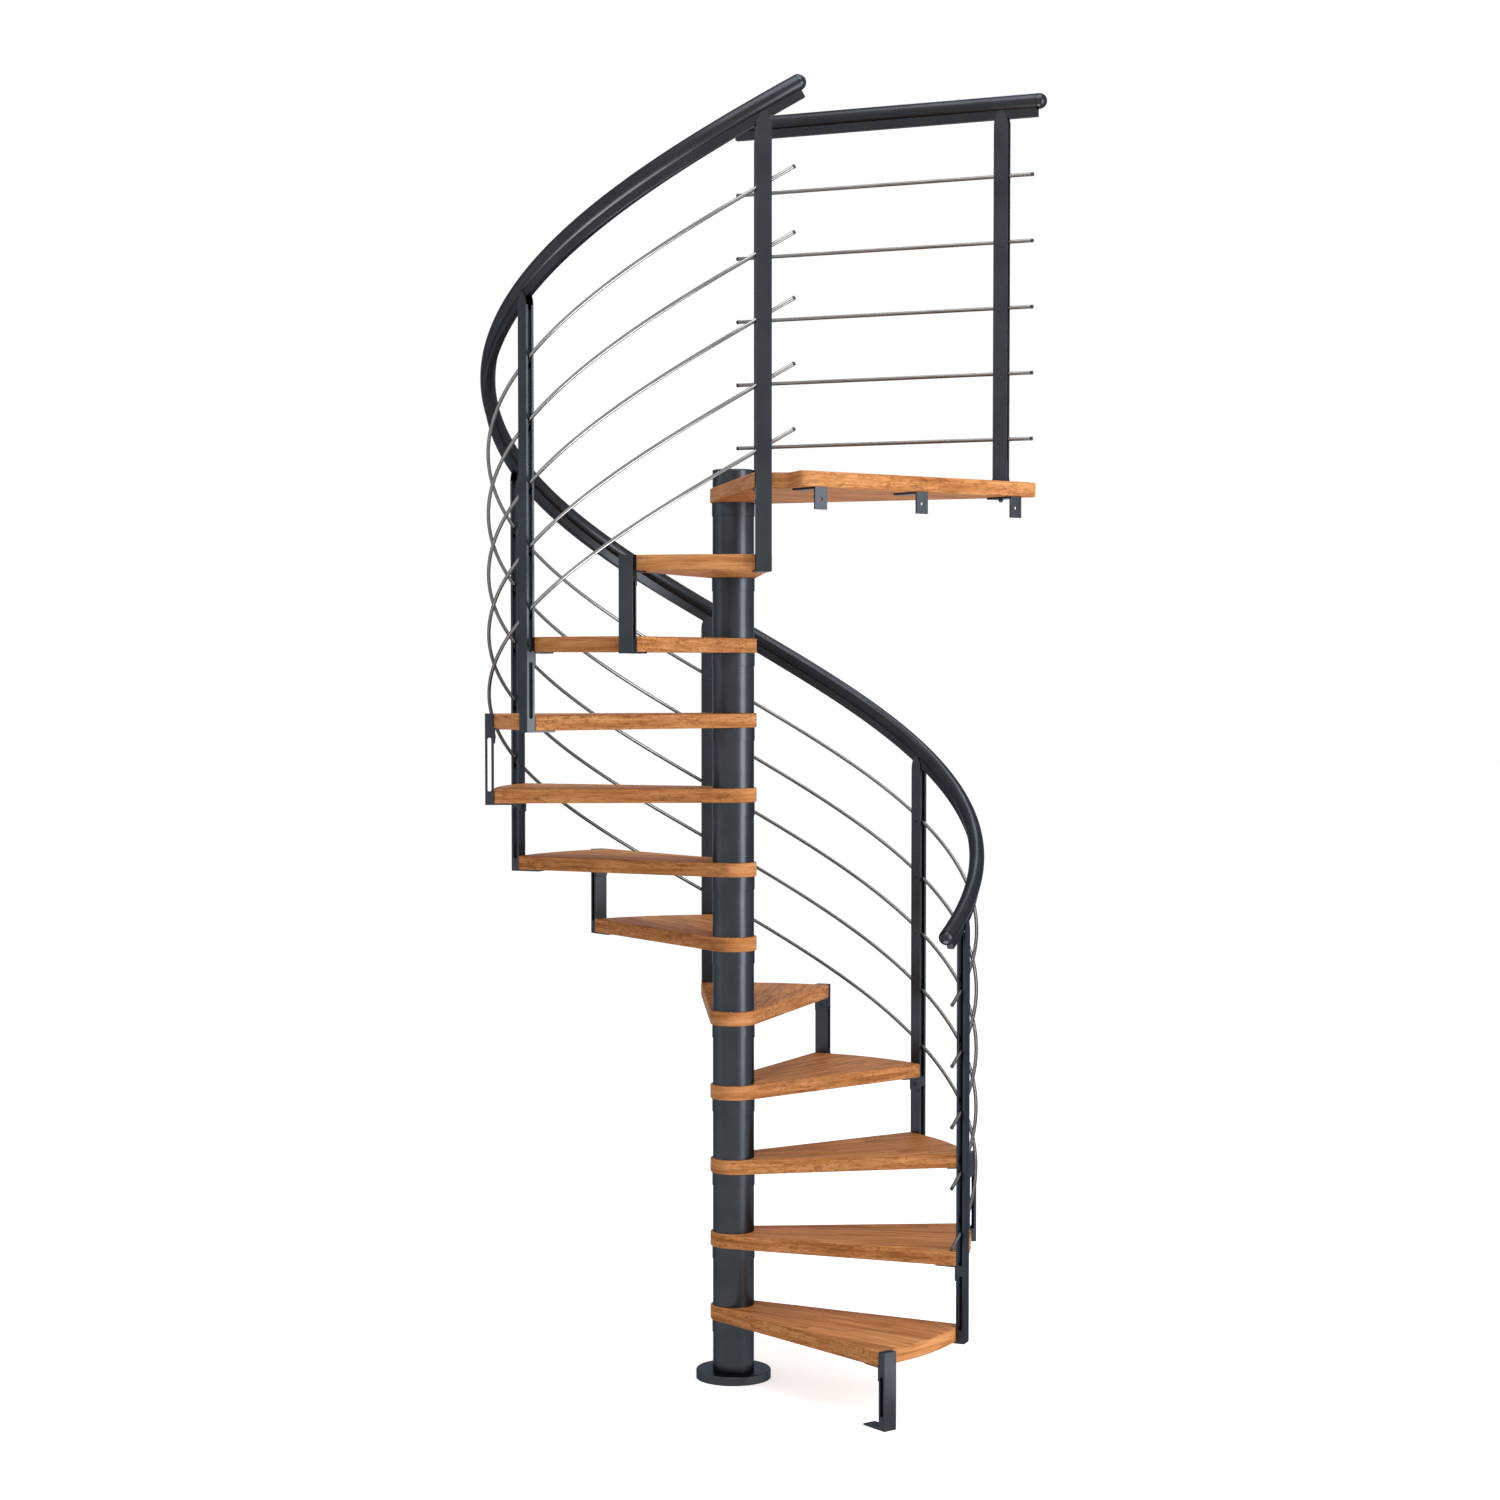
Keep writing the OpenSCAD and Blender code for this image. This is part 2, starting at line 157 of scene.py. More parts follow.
def drawnSteel(name, colours):
    finish, tree, shader = newFinish(name)
    place = put(tree, "ShaderNodeTexCoord").outputs["Object"]
    cloud = noise(tree, place, drawn["cloud"])
    tint = ramp(tree, cloud, [(drawn["lowAt"], colours["low"]), (drawn["highAt"], colours["high"])])
    # painted shade: the steel colour darkens towards the bottom
    height = put(tree, "ShaderNodeSeparateXYZ", {0: place}).outputs[2]
    shade = ramp(tree, math(tree, "DIVIDE", height, paintedFootShade["fullAt"]),
                 [(paintedFootShade["darkestAt"], paintedFootShade["foot"]), (1.0, fullTint)])
    tint = mix(tree, "MULTIPLY", 1.0, tint, shade)
    rough = math(tree, "MULTIPLY_ADD", cloud, drawn["uneven"], colours["roughness"])
    tree.links.new(tint, shader.inputs["Base Color"])
    tree.links.new(rough, shader.inputs["Roughness"])
    shader.inputs["Metallic"].default_value = 1.0
    shader.inputs["Specular Tint"].default_value = colours["edge"]
    return finish


plug = {"low": (0.010, 0.010, 0.011), "high": (0.018, 0.018, 0.020), "roughness": 0.42,
        "grain": (900.0, 900.0, 900.0), "lowAt": 0.35, "highAt": 0.65,
        "uneven": 0.15, "bump": 0.1, "deep": 0.0002}


def blackPlastic(name):
    finish, tree, shader = newFinish(name)
    place = put(tree, "ShaderNodeTexCoord").outputs["Object"]
    grains = noise(tree, place, plug["grain"], detail=2.0)
    tint = ramp(tree, grains, [(plug["lowAt"], plug["low"]), (plug["highAt"], plug["high"])])
    rough = math(tree, "MULTIPLY_ADD", grains, plug["uneven"], plug["roughness"])
    tree.links.new(tint, shader.inputs["Base Color"])
    tree.links.new(rough, shader.inputs["Roughness"])
    linkBump(tree, shader, grains, plug["bump"], plug["deep"])
    return finish


oak = {
    "staveWidth": 0.052, "staveLength": 0.46, "joint": 0.0005,
    "rowStagger": 5.3, "staveJump": (9.0, 7.0, 5.0),  # so that no two staves share their grain
    "dark": (0.370, 0.140, 0.045), "mid": (0.575, 0.245, 0.088), "light": (0.705, 0.340, 0.142),
    "pore": (0.215, 0.080, 0.028, 1.0), "fleck": (0.180, 0.064, 0.022, 1.0), "seam": (0.50, 0.42, 0.36, 1.0),
    "darkStave": (0.86, 0.84, 0.82), "paleStave": (1.10, 1.09, 1.08),
    "streakTint": (0.60, 0.53, 0.45), "lineTint": (0.70, 0.64, 0.56), "patchTint": (0.45, 0.45, 0.45),
    "figure": (3.5, 46.0, 30.0), "streak": (11.0, 300.0, 240.0), "pores": (36.0, 820.0, 640.0),
    "layer": (5.0, 5.0, 70.0), "line": (14.0, 14.0, 330.0),
    "wavy": (48.0, 48.0, 135.0), "patch": (11.0, 11.0, 26.0),
    "streakShare": 0.9, "poreShare": 0.5, "seamShare": 0.45, "lineShare": 0.8, "fleckShare": 0.7,
    "gloss": 0.02, "roughness": 0.40, "uneven": 0.22, "bump": 0.2, "deep": 0.0005, "poreDeep": 0.6,
    "edgeFrom": 0.25, "sawnFrom": 0.75,  # marks of the cut attribute
}


def staveShift(tree, grain):
    along, across = put(tree, "ShaderNodeSeparateXYZ", {0: grain}).outputs[:2]
    rowNumber = math(tree, "FLOOR", math(tree, "DIVIDE", across, oak["staveWidth"]))
    rowTone = put(tree, "ShaderNodeTexWhiteNoise", {"W": rowNumber}, noise_dimensions="1D").outputs[0]
    stagger = math(tree, "MULTIPLY", rowTone, oak["rowStagger"])
    run = math(tree, "ADD", math(tree, "DIVIDE", along, oak["staveLength"]), stagger)
    stave = put(tree, "ShaderNodeCombineXYZ", {0: rowNumber, 1: math(tree, "FLOOR", run)}).outputs[0]
    own = put(tree, "ShaderNodeTexWhiteNoise", {"Vector": stave}, noise_dimensions="3D")
    jump = put(tree, "ShaderNodeVectorMath", {0: own.outputs[1], 1: oak["staveJump"]}, operation="MULTIPLY")
    moved = put(tree, "ShaderNodeVectorMath", {0: grain, 1: jump.outputs[0]}, operation="ADD").outputs[0]
    seamAcross = math(tree, "PINGPONG", across, oak["staveWidth"] / 2)
    seamAcross = math(tree, "SUBTRACT", oak["staveWidth"] / 2, seamAcross)
    seamAlong = math(tree, "MULTIPLY", math(tree, "PINGPONG", run, 0.5), oak["staveLength"])
    seam = math(tree, "LESS_THAN", math(tree, "MINIMUM", seamAcross, seamAlong), oak["joint"])
    return moved, own.outputs[0], seam


def oiledOak(name):
    finish, tree, shader = newFinish(name)
    grain = put(tree, "ShaderNodeAttribute", attribute_name="grain").outputs["Vector"]
    cut = put(tree, "ShaderNodeAttribute", attribute_name="cut").outputs["Fac"]
    upright = math(tree, "GREATER_THAN", cut, oak["edgeFrom"])
    sawn = math(tree, "GREATER_THAN", cut, oak["sawnFrom"])
    own, tone, seam = staveShift(tree, grain)
    # faces: staves with long grain
    figure = noise(tree, own, oak["figure"], detail=4.0, roughness=0.55, warp=0.6)
    streak = noise(tree, own, oak["streak"], detail=4.0, roughness=0.62)
    pores = noise(tree, own, oak["pores"], detail=2.0)
    colour = ramp(tree, figure, [(0.30, oak["dark"]), (0.50, oak["mid"]), (0.70, oak["light"])])
    toneShade = ramp(tree, tone, [(0.0, oak["darkStave"]), (1.0, oak["paleStave"])])
    colour = mix(tree, "MULTIPLY", 1.0, colour, toneShade)
    streakShade = ramp(tree, streak, [(0.38, oak["streakTint"]), (0.56, fullTint)])
    colour = mix(tree, "MULTIPLY", oak["streakShare"], colour, streakShade)
    poreMask = ramp(tree, pores, [(0.60, noTint), (0.70, fullTint)])
    colour = mix(tree, "MIX", math(tree, "MULTIPLY", poreMask, oak["poreShare"]), colour, oak["pore"])
    colour = mix(tree, "MULTIPLY", math(tree, "MULTIPLY", seam, oak["seamShare"]), colour, oak["seam"])
    # edges: level streaks
    layer = noise(tree, grain, oak["layer"], detail=4.0, roughness=0.55, warp=0.5)
    line = noise(tree, grain, oak["line"], detail=3.0, roughness=0.6, warp=0.4)
    edge = ramp(tree, layer, [(0.30, oak["dark"]), (0.48, oak["mid"]), (0.70, oak["light"])])
    lineShade = ramp(tree, line, [(0.36, oak["lineTint"]), (0.56, fullTint)])
    edge = mix(tree, "MULTIPLY", oak["lineShare"], edge, lineShade)
    # sawn long edges: flecks in patches
    wavy = noise(tree, grain, oak["wavy"], detail=5.0, roughness=0.68, warp=0.8)
    patch = noise(tree, grain, oak["patch"], detail=2.0)
    fleck = ramp(tree, wavy, [(0.38, fullTint), (0.54, noTint)])
    patchMask = ramp(tree, patch, [(0.36, oak["patchTint"]), (0.60, fullTint)])
    fleck = math(tree, "MULTIPLY", math(tree, "MULTIPLY", fleck, patchMask), sawn)
    edge = mix(tree, "MIX", math(tree, "MULTIPLY", fleck, oak["fleckShare"]), edge, oak["fleck"])
    rough = math(tree, "MULTIPLY_ADD", streak, oak["uneven"], oak["roughness"])
    relief = math(tree, "SUBTRACT", streak, math(tree, "MULTIPLY", poreMask, oak["poreDeep"]))
    tree.links.new(mix(tree, "MIX", upright, colour, edge), shader.inputs["Base Color"])
    tree.links.new(rough, shader.inputs["Roughness"])
    shader.inputs["Specular IOR Level"].default_value = oak["gloss"]
    linkBump(tree, shader, relief, oak["bump"], oak["deep"])
    return finish


finishes = {
    "steel": satinEnamel("anthraciteEnamel", enamel),
    "handrail": satinEnamel("handrailSkin", railSkin),
    "end_caps": satinEnamel("capSkin", capSkin),
    "oak": oiledOak("oiledOak"),
    "stainless": drawnSteel("drawnSteel", bright),
    "shadedDrawnSteel": drawnSteel("shadedDrawnSteel", shadedRodSteel),
    "plug": blackPlastic("blackPlug"),
}
print("finishes made:", len(finishes))


# ways of making pieces

meshing = {"weld": 0.00002, "fineWeld": 0.000005,
           "flat": radians(0.4), "eased": radians(40), "smooth": radians(38)}


def finishPiece(bm, name, slotName, replaced=(), finishName=None):
    mesh = bpy.data.meshes.new(name)
    bm.to_mesh(mesh)
    bm.free()
    for face in mesh.polygons:
        face.use_smooth = True
    mesh.set_sharp_from_angle(angle=meshing["smooth"])
    piece = bpy.data.objects.new(name, mesh)
    scene.collection.objects.link(piece)
    mesh.materials.append(finishes[finishName or slotName])
    evened = piece.modifiers.new("evenNormals", "WEIGHTED_NORMAL")
    evened.keep_sharp = True
    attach(piece, "root")
    if replaced:
        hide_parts(*replaced)
    return piece


def easedCopy(nodeName, radius, segments):
    bm = bmesh.new()
    bm.from_mesh(nodes[nodeName].data)
    bmesh.ops.remove_doubles(bm, verts=bm.verts, dist=meshing["weld"])
    bmesh.ops.dissolve_limit(bm, angle_limit=meshing["flat"], verts=bm.verts, edges=bm.edges)
    sharp = [e for e in bm.edges if len(e.link_faces) == 2 and e.calc_face_angle() > meshing["eased"]]
    bmesh.ops.bevel(bm, geom=sharp, offset=radius, offset_type="OFFSET", segments=segments,
                    profile=0.5, affect="EDGES", clamp_overlap=True, material=-1)
    return bm


def pointing(place, direction):  # frame with its Z along the direction
    return Matrix.Translation(place) @ direction.to_track_quat("Z", "Y").to_matrix().to_4x4()


def addSpun(bm, profile, steps, where):
    turned = bmesh.new()
    verts = [turned.verts.new((radius, 0.0, z)) for radius, z in profile]
    edges = [turned.edges.new(pair) for pair in zip(verts, verts[1:])]
    bmesh.ops.spin(turned, geom=verts + edges, cent=(0, 0, 0), axis=(0, 0, 1), dvec=(0, 0, 0),
                   angle=2 * pi, steps=steps, use_merge=True, use_duplicate=False)
    bmesh.ops.remove_doubles(turned, verts=turned.verts, dist=meshing["fineWeld"])
    bmesh.ops.recalc_face_normals(turned, faces=turned.faces)
    join(bm, turned, where)


def addPrism(bm, sides, radius, height, ease, where):
    block = bmesh.new()
    bmesh.ops.create_cone(block, cap_ends=True, segments=sides, radius1=radius, radius2=radius, depth=height)
    bmesh.ops.translate(block, verts=block.verts, vec=(0, 0, height / 2))
    bmesh.ops.bevel(block, geom=block.edges[:], offset=ease, offset_type="OFFSET", segments=2,
                    profile=0.5, affect="EDGES", clamp_overlap=True, material=-1)
    join(bm, block, where)


def join(bm, part, where):
    part.transform(where)
    carrier = bpy.data.meshes.new("carrier")
    part.to_mesh(carrier)
    part.free()
    bm.from_mesh(carrier)
    bpy.data.meshes.remove(carrier)


# treads and landing

wood = {"edge": 0.0032, "segments": 3, "uprightBelow": 0.6, "sawnFrom": 0.85,
        "treadShift": (3.17, 1.013, 2.31), "landingShift": (41.0, 13.0, 7.0)}  # where each grain is cut from


def layGrain(piece, angle, shift):
    mesh = piece.data
    turned = Matrix.Rotation(-angle, 3, "Z")
    grain = mesh.attributes.new("grain", "FLOAT_VECTOR", "POINT")
    for vertex, value in zip(mesh.vertices, grain.data):
        value.vector = turned @ vertex.co + Vector(shift)
    cut = mesh.attributes.new("cut", "FLOAT", "FACE")  # 0 face, 0.5 edge, 1 sawn long edge
    for face, value in zip(mesh.polygons, cut.data):
        upright = 0.5 if abs(face.normal.z) < wood["uprightBelow"] else 0.0
        sawn = 0.5 if abs((turned @ face.normal).y) > wood["sawnFrom"] else 0.0
        value.value = upright + sawn


def makeTreads():
    for n in range(1, stair["treads"] + 1):
        name = "tread_%02d" % n
        piece = finishPiece(easedCopy(name, wood["edge"], wood["segments"]), "oak_" + name, "oak", [name])
        layGrain(piece, bracketAngle(n - 0.5), [n * step for step in wood["treadShift"]])
    bm = easedCopy("landing", wood["edge"], wood["segments"])
    piece = finishPiece(bm, "oak_landing", "oak", ["landing"])
    layGrain(piece, 0.0, wood["landingShift"])


makeTreads()
print("treads and landing done")

# column, brackets, posts and angles

steelEdge = {"radius": 0.0009, "column": 0.0003, "segments": 2}
shortSlot = {"node": "bracket_00", "from": 0.17, "to": 0.195, "lower": 0.042}  # top end of its slot moves down
steelNodes = ["column_sleeves", "column_rings", "tread_angles", "landing_brackets",
              "landing_post_inner", "landing_post_outer"]
steelNodes += ["bracket_%02d" % k for k in range(0, stair["treads"], 2)]
steelNodes += ["post_%02d" % k for k in range(1, stair["treads"] + 1, 2)]
shownAsBuilt = ["base_flange", "column_cap", "centre_post"]


def makeSteel():
    for name in steelNodes:
        radius = steelEdge["column"] if name.startswith("column") else steelEdge["radius"]
        bm = easedCopy(name, radius, steelEdge["segments"])
        if name == shortSlot["node"]:
            slotEnd = [v for v in bm.verts if shortSlot["from"] < v.co.z < shortSlot["to"]]
            bmesh.ops.translate(bm, verts=slotEnd, vec=(0, 0, -shortSlot["lower"]))
        finishPiece(bm, "steel_" + name, "steel", [name])
    for name in shownAsBuilt:
        nodes[name].data.materials.clear()
        nodes[name].data.materials.append(finishes["steel"])


makeSteel()
print("steel pieces done")

# helical handrail and rods

railing = {
    "tube": 0.021, "finWidth": 0.0194, "finDrop": 0.020, "height": 1.138,
    "lowOver": radians(9.3), "upOver": radians(7.2), "stepsPerTurn": 200,
    "tubeSteps": 40, "finLip": 0.0012, "rodSteps": 20,
    "rod": 0.005, "rodLow": 0.271, "rodTopGap": 0.205, "rods": 5, "rodOver": radians(6.8),
}
railRadius = (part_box("handrail")[1].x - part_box("handrail")[0].x) / 2 - railing["tube"]
slope = atan(rise / (railRadius * stair["stepAngle"]))
firstAngle = bracketAngle(1)
lastAngle = bracketAngle(stair["treads"])
rodPitch = (railing["height"] - railing["rodTopGap"] - railing["rodLow"]) / (railing["rods"] - 1)
rodHeights = [railing["rodLow"] + i * rodPitch for i in range(railing["rods"])]


def helixPoint(angle, height, u=0.0, v=0.0):
    outwards = polar(1.0, angle)
    upwards = Vector((sin(angle) * sin(slope), -cos(angle) * sin(slope), cos(slope)))
    z = rise + height + (angle - firstAngle) / stair["stepAngle"] * rise
    return polar(railRadius, angle, z) + outwards * u + upwards * v


def uphill(angle):
    return Vector((-sin(angle) * cos(slope), cos(angle) * cos(slope), sin(slope)))


def helixSweep(bm, section, startAngle, endAngle, height):
    ring = [bm.verts.new(helixPoint(startAngle, height, u, v)) for u, v in section]
    start = bm.faces.new(ring)
    turn = endAngle - startAngle
    steps = round(railing["stepsPerTurn"] * turn / (2 * pi))
    lift = turn / stair["stepAngle"] * rise / steps
    bmesh.ops.spin(bm, geom=[start], cent=(0, 0, 0), axis=(0, 0, 1), dvec=(0, 0, lift),
                   angle=turn, steps=steps, use_merge=False, use_duplicate=False)
    bmesh.ops.recalc_face_normals(bm, faces=bm.faces)


def railSection():
    tube, half = railing["tube"], railing["finWidth"] / 2
    steps, lip = railing["tubeSteps"], railing["finLip"]
    bottom = -tube - railing["finDrop"]
    gap = asin(half / tube)
    points = [(-half, bottom + lip), (-half + lip, bottom), (half - lip, bottom), (half, bottom + lip)]
    for i in range(steps + 1):
        angle = gap - pi / 2 + i * (2 * pi - 2 * gap) / steps
        points.append((tube * cos(angle), tube * sin(angle)))
    return points


def rodSection():
    radius, steps = railing["rod"], railing["rodSteps"]
    return [(radius * cos(2 * pi * i / steps), radius * sin(2 * pi * i / steps)) for i in range(steps)]


def makeHandrail():
    bm = bmesh.new()
    helixSweep(bm, railSection(), firstAngle - railing["lowOver"], lastAngle + railing["upOver"],
               railing["height"])
    finishPiece(bm, "helical_handrail", "handrail", ["handrail"])
    for i, height in enumerate(rodHeights):
        bm = bmesh.new()
        helixSweep(bm, rodSection(), firstAngle - railing["rodOver"],
                   lastAngle + railing["rodOver"], height)
        finishPiece(bm, "bent_rod_%d" % (i + 1), "stainless", ["rod_%d" % (i + 1)])


makeHandrail()
print("helical handrail and rods done")

# railing beside the landing

side = {
    "angle": radians(300), "offset": 0.054, "inner": 0.063937, "outer": 0.762,
    "height": 1.010, "low": 0.116, "topGap": 0.192,
    "railStart": 0.077, "railOver": 0.099, "rodStart": 0.076, "rodOver": 0.088,
}
sidePitch = (side["height"] - side["topGap"] - side["low"]) / (railing["rods"] - 1)
sideHeights = [side["low"] + i * sidePitch for i in range(railing["rods"])]
sideAlong = polar(1.0, side["angle"])
sideOut = polar(1.0, side["angle"] + pi / 2)


def sidePoint(along, out, height):
    return sideAlong * along + sideOut * (side["offset"] + out) + Vector((0, 0, landingTop + height))


def sideSweep(bm, section, start, end, height):
    ring = [bm.verts.new(sidePoint(start, u, height + v)) for u, v in section]
    face = bm.faces.new(ring)
    drawn = bmesh.ops.extrude_face_region(bm, geom=[face], use_keep_orig=True)
    far = [v for v in drawn["geom"] if isinstance(v, bmesh.types.BMVert)]
    bmesh.ops.translate(bm, verts=far, vec=sideAlong * (end - start))
    bmesh.ops.recalc_face_normals(bm, faces=bm.faces)


def makeLandingRail():
    bm = bmesh.new()
    sideSweep(bm, railSection(), side["inner"] - side["railStart"], side["outer"] + side["railOver"],
              side["height"])
    finishPiece(bm, "straight_handrail", "handrail", ["landing_handrail"])
    bm = bmesh.new()
    for height in sideHeights:
        sideSweep(bm, rodSection(), side["inner"] - side["rodStart"],
                  side["outer"] + side["rodOver"], height)
    # the straight rods take the darker copy of the rod steel, painted shade
    finishPiece(bm, "straight_rods", "stainless", ["landing_rods"], finishName="shadedDrawnSteel")


makeLandingRail()
print("landing railing done")

# end caps of both handrails: a fine joint, a short collar and a dome

cap = {"collar": 0.004, "joint": 0.0007, "bevel": 0.0005, "arcSteps": 14, "steps": 48}


def capProfile():
    tube = railing["tube"]
    points = [(0.0, 0.0), (tube - cap["joint"], 0.0), (tube - cap["joint"], cap["joint"]),
              (tube - cap["bevel"], cap["joint"]), (tube, cap["joint"] + cap["bevel"])]
    for i in range(cap["arcSteps"] + 1):
        angle = i * pi / 2 / cap["arcSteps"]
        points.append((tube * cos(angle), cap["collar"] + tube * sin(angle)))
    return points


def makeCaps():
    bm = bmesh.new()
    low = firstAngle - railing["lowOver"]
    up = lastAngle + railing["upOver"]
    addSpun(bm, capProfile(), cap["steps"], pointing(helixPoint(low, railing["height"]), -uphill(low)))
    addSpun(bm, capProfile(), cap["steps"], pointing(helixPoint(up, railing["height"]), uphill(up)))
    finishPiece(bm, "helical_rail_caps", "end_caps", ["handrail_caps"])
    bm = bmesh.new()
    start = sidePoint(side["inner"] - side["railStart"], 0.0, side["height"])
    end = sidePoint(side["outer"] + side["railOver"], 0.0, side["height"])
    addSpun(bm, capProfile(), cap["steps"], pointing(start, -sideAlong))
    addSpun(bm, capProfile(), cap["steps"], pointing(end, sideAlong))
    finishPiece(bm, "straight_rail_caps", "end_caps", ["landing_handrail_caps"])


makeCaps()
print("end caps done")

# black plugs on the rod ends

rodPlug = {"radius": 0.0054, "length": 0.007, "proud": 0.0008, "ease": 0.0008, "steps": 20}


def makeRodPlugs():
    bm = bmesh.new()
    radius, ease, length = rodPlug["radius"], rodPlug["ease"], rodPlug["length"]
    profile = [(0.0, 0.0), (radius, 0.0), (radius, length - ease), (radius - ease, length), (0.0, length)]
    ends = []
    for height in rodHeights:
        low = firstAngle - railing["rodOver"]
        up = lastAngle + railing["rodOver"]
        ends.append((helixPoint(low, height), -uphill(low)))
        ends.append((helixPoint(up, height), uphill(up)))
    for height in sideHeights:
        ends.append((sidePoint(side["inner"] - side["rodStart"], 0.0, height), -sideAlong))
        ends.append((sidePoint(side["outer"] + side["rodOver"], 0.0, height), sideAlong))
    for place, direction in ends:
        foot = place + direction * (rodPlug["proud"] - length)
        addSpun(bm, profile, rodPlug["steps"], pointing(foot, direction))
    finishPiece(bm, "rod_plugs", "end_caps", finishName="plug")


makeRodPlugs()
print("rod plugs done")

# fasteners: clamp screws at the rods, bolts on the angles, wood screws and domed nuts below

screwHead = {"side": 0.45, "shoulder": (0.86, 0.85), "crown": 0.62}  # shares of the radius and height
clampScrew = {"radius": 0.0034, "height": 0.0016, "socket": 0.0018, "deep": 0.0014, "steps": 14,
              "below": 0.011}
angleBolt = {"radius": 0.0065, "height": 0.0016, "socket": 0.0026, "deep": 0.0012, "steps": 24,
             "drop": 0.024, "leg": 0.004}
woodScrew = {"radius": 0.0048, "height": 0.0006, "socket": 0.0020, "deep": 0.0005, "steps": 16,
             "apart": 0.010, "inset": 0.042, "footPlate": 0.0045}
domeNut = {"washer": 0.0088, "washerHigh": 0.0016, "washerEase": 0.3, "steps": 24,
           "hex": 0.0075, "hexHigh": 0.0055, "hexEase": 0.0004, "hexSides": 6, "dome": 0.0060, "arcSteps": 8}
profileInner = railRadius - stair["profileDepth"] / 2


def screwProfile(screw):
    radius, height = screw["radius"], screw["height"]
    socket, bottom = screw["socket"], height - screw["deep"]
    wide, high = screwHead["shoulder"]
    return [(0.0, 0.0), (radius, 0.0), (radius, height * screwHead["side"]), (radius * wide, height * high),
            (radius * screwHead["crown"], height), (socket, height), (socket, bottom), (0.0, bottom)]


def washerProfile():
    radius, height = domeNut["washer"], domeNut["washerHigh"]
    ease = height * domeNut["washerEase"]
    return [(0.0, 0.0), (radius, 0.0), (radius, height - ease), (radius - ease, height), (0.0, height)]


def domeProfile():
    points = [(0.0, 0.0)]
    for i in range(domeNut["arcSteps"] + 1):
        angle = i * pi / 2 / domeNut["arcSteps"]
        points.append((domeNut["dome"] * cos(angle), domeNut["dome"] * sin(angle)))
    return points


def makeClampScrews():
    bm = bmesh.new()
    for k in range(1, stair["treads"] + 1, 2):
        inwards = -polar(1.0, bracketAngle(k))
        for height in rodHeights:
            place = polar(profileInner, bracketAngle(k), k * rise + height - clampScrew["below"])
            addSpun(bm, screwProfile(clampScrew), clampScrew["steps"], pointing(place, inwards))
    for along in (side["inner"], side["outer"]):
        for height in sideHeights:
            place = sidePoint(along, -stair["profileDepth"] / 2, height - clampScrew["below"])
            addSpun(bm, screwProfile(clampScrew), clampScrew["steps"], pointing(place, -sideOut))
    finishPiece(bm, "clamp_screws", "steel")


def makeAngleBolts():
    bm = bmesh.new()
    for k in range(stair["treads"] + 1):
        angle = bracketAngle(k)
        inwards = -polar(1.0, angle)
        z = (k + 1) * rise - treadThick - angleBolt["drop"]
        place = polar(profileInner - angleBolt["leg"], angle, z)
        addSpun(bm, screwProfile(angleBolt), angleBolt["steps"], pointing(place, inwards))
    finishPiece(bm, "angle_bolts", "steel")


def makeWoodScrews():
    bm = bmesh.new()
    down = Vector((0, 0, -1))
    for k in range(stair["treads"] + 1):
        angle = bracketAngle(k)
        sideways = polar(1.0, angle + pi / 2)
        under = [(k + 1) * rise - treadThick - angleBolt["leg"]]
        if k > 0:
            under.append(k * rise - treadThick - woodScrew["footPlate"])
        for z in under:
            for sign in (-1, 1):
                place = polar(profileInner - woodScrew["inset"], angle, z)
                place = place + sideways * sign * woodScrew["apart"]
                addSpun(bm, screwProfile(woodScrew), woodScrew["steps"], pointing(place, down))
    finishPiece(bm, "wood_screws", "stainless")


def makeDomeNuts():
    bm = bmesh.new()
    down = Vector((0, 0, -1))
    for along in (side["inner"], side["outer"]):
        place = sidePoint(along, 0.0, landingUnder - landingTop)
        addSpun(bm, washerProfile(), domeNut["steps"], pointing(place, down))
        place += down * domeNut["washerHigh"]
        addPrism(bm, domeNut["hexSides"], domeNut["hex"], domeNut["hexHigh"], domeNut["hexEase"],
                 pointing(place, down))
        place += down * domeNut["hexHigh"]
        addSpun(bm, domeProfile(), domeNut["steps"], pointing(place, down))
    finishPiece(bm, "dome_nuts", "steel")


makeClampScrews()
makeAngleBolts()
makeWoodScrews()
makeDomeNuts()
print("fasteners done")

# studio: pale floor, soft light and the camera

studio = {"floorSize": 80.0, "floorColour": (0.86, 0.86, 0.86, 1.0), "floorRoughness": 0.9, "floorGlow": 0.62,
          "white": (1.0, 1.0, 1.0, 1.0), "shownStrength": 1.0, "worldStrength": 0.46}


def raysTo(tree):  # seen by the camera, and seen in metal or glass
    path = put(tree, "ShaderNodeLightPath").outputs
    return path["Is Camera Ray"], math(tree, "MAXIMUM", path["Is Glossy Ray"], path["Is Transmission Ray"])


def makeFloor():
    bm = bmesh.new()
    bmesh.ops.create_grid(bm, x_segments=1, y_segments=1, size=studio["floorSize"] / 2)
    mesh = bpy.data.meshes.new("floor")
    bm.to_mesh(mesh)
    bm.free()
    floor = bpy.data.objects.new("floor", mesh)
    scene.collection.objects.link(floor)
    finish, tree, shader = newFinish("floorPaper")
    shader.inputs["Base Color"].default_value = studio["floorColour"]
    shader.inputs["Roughness"].default_value = studio["floorRoughness"]
    shader.inputs["Specular IOR Level"].default_value = 0.0
    seen, mirrored = raysTo(tree)
    glow = put(tree, "ShaderNodeEmission", {"Color": studio["white"], "Strength": studio["floorGlow"]})
    lifted = put(tree, "ShaderNodeAddShader", {0: shader.outputs[0], 1: glow.outputs[0]})
    white = put(tree, "ShaderNodeEmission", {"Color": studio["white"], "Strength": studio["shownStrength"]})
    pick = put(tree, "ShaderNodeMixShader", {0: seen, 1: shader.outputs[0], 2: lifted.outputs[0]})
    pick = put(tree, "ShaderNodeMixShader", {0: mirrored, 1: pick.outputs[0], 2: white.outputs[0]})
    tree.links.new(pick.outputs[0], tree.nodes["Material Output"].inputs[0])
    mesh.materials.append(finish)


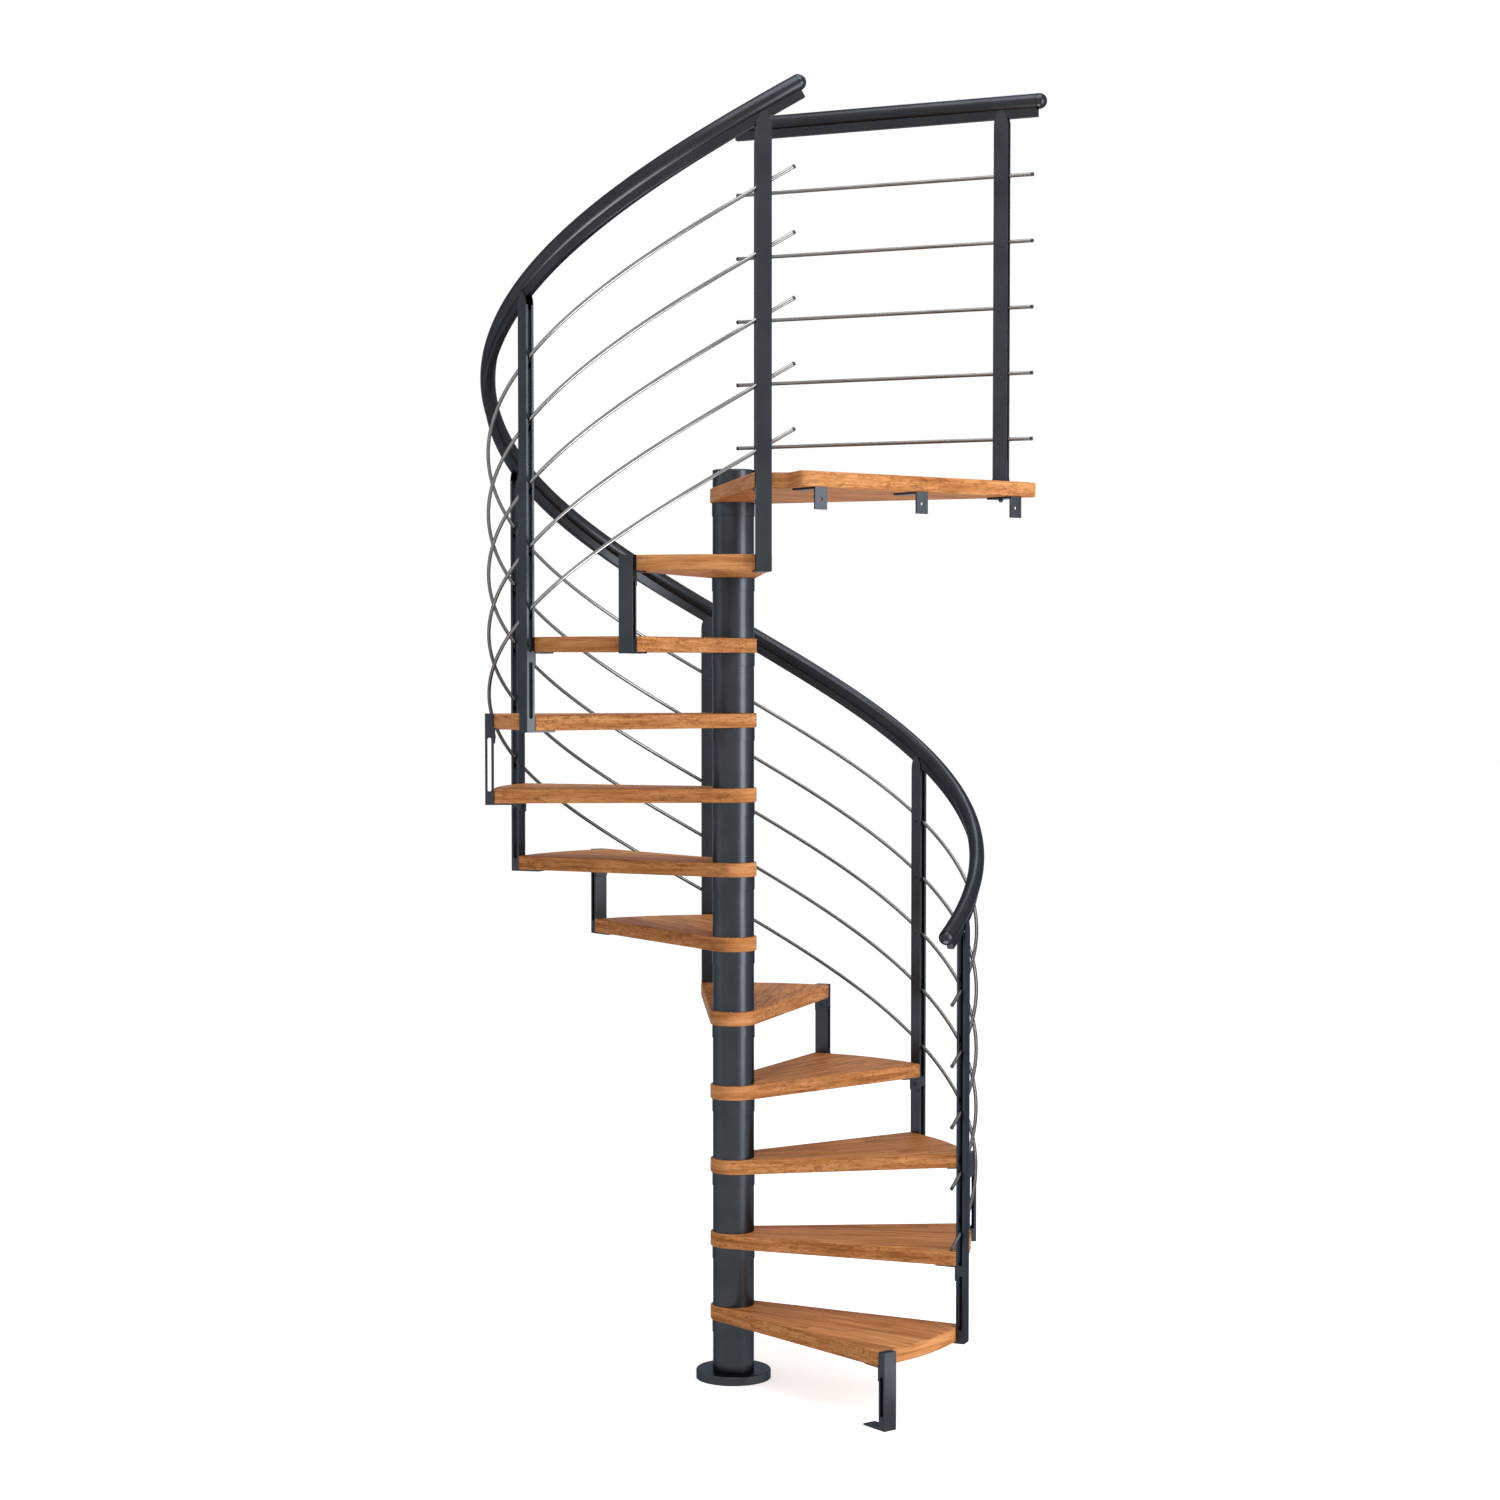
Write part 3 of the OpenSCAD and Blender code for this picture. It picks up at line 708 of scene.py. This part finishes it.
def makeWorld():
    world = bpy.data.worlds.new("studioWorld")
    scene.world = world
    world.use_nodes = True
    tree = world.node_tree
    soft = tree.nodes["Background"]
    soft.inputs[0].default_value = studio["white"]
    soft.inputs[1].default_value = studio["worldStrength"]
    white = put(tree, "ShaderNodeBackground", {0: studio["white"], 1: studio["shownStrength"]})
    shown = math(tree, "MAXIMUM", *raysTo(tree))
    pick = put(tree, "ShaderNodeMixShader", {0: shown, 1: soft.outputs[0], 2: white.outputs[0]})
    tree.links.new(pick.outputs[0], tree.nodes["World Output"].inputs[0])


# lamps light everything; cards lie low or far back and only show as pale lines in the steel
lamps = [
    {"name": "keyLamp", "place": (1.35, -4.2, 1.95), "aim": (0, 0, 1.7), "size": (2.0, 3.7), "power": 136.0},
    {"name": "topLamp", "place": (-0.8, -1.6, 6.4), "aim": (0, 0, 1.5), "size": (4.0, 4.0), "power": 180.0},
    {"name": "leftLamp", "place": (-3.55, 1.84, 2.0), "aim": (0, 0, 1.7), "size": (1.2, 3.6), "power": 6.0},
    {"name": "railCard", "place": (-0.65, -1.0, 0.02), "aim": (-0.65, -1.0, 1.0), "size": (2.0, 2.0),
     "power": 32.0, "spread": radians(80)},
    {"name": "footCard", "place": (0.38, -1.2, 0.02), "aim": (0.38, -1.2, 1.0), "size": (0.5, 0.5),
     "power": 1.5},
    {"name": "backCard", "place": (2.43, 1.52, 6.1), "aim": (0, 0, 2.0), "size": (1.5, 1.5), "power": 60.0},
]


def makeLamps():
    for lamp in lamps:
        data = bpy.data.lights.new(lamp["name"], "AREA")
        data.shape = "RECTANGLE"
        data.size, data.size_y = lamp["size"]
        data.energy = lamp["power"]
        data.spread = lamp.get("spread", pi)
        light = bpy.data.objects.new(lamp["name"], data)
        scene.collection.objects.link(light)
        light.visible_camera = False
        light.visible_diffuse = "Lamp" in lamp["name"]
        light.location = lamp["place"]
        aim = Vector(lamp["aim"]) - light.location
        light.rotation_euler = aim.to_track_quat("-Z", "Y").to_euler()


view = {"place": (-4.57285, -6.18886, 2.00641), "forward": (0.598552, 0.799943, -0.042737),
        "focalPixels": 2754.88, "framePixels": 1500.0, "sensor": 36.0, "raisedPixels": 32.67}


def makeCamera():
    data = bpy.data.cameras.new("photoCamera")
    data.sensor_width = view["sensor"]
    data.lens = view["focalPixels"] / view["framePixels"] * view["sensor"]
    data.shift_y = view["raisedPixels"] / view["framePixels"]
    camera = bpy.data.objects.new("photoCamera", data)
    scene.collection.objects.link(camera)
    camera.location = view["place"]
    camera.rotation_euler = Vector(view["forward"]).to_track_quat("-Z", "Y").to_euler()
    scene.camera = camera


makeFloor()
makeWorld()
makeLamps()
makeCamera()
scene.view_settings.view_transform = "Standard"
print("studio ready")
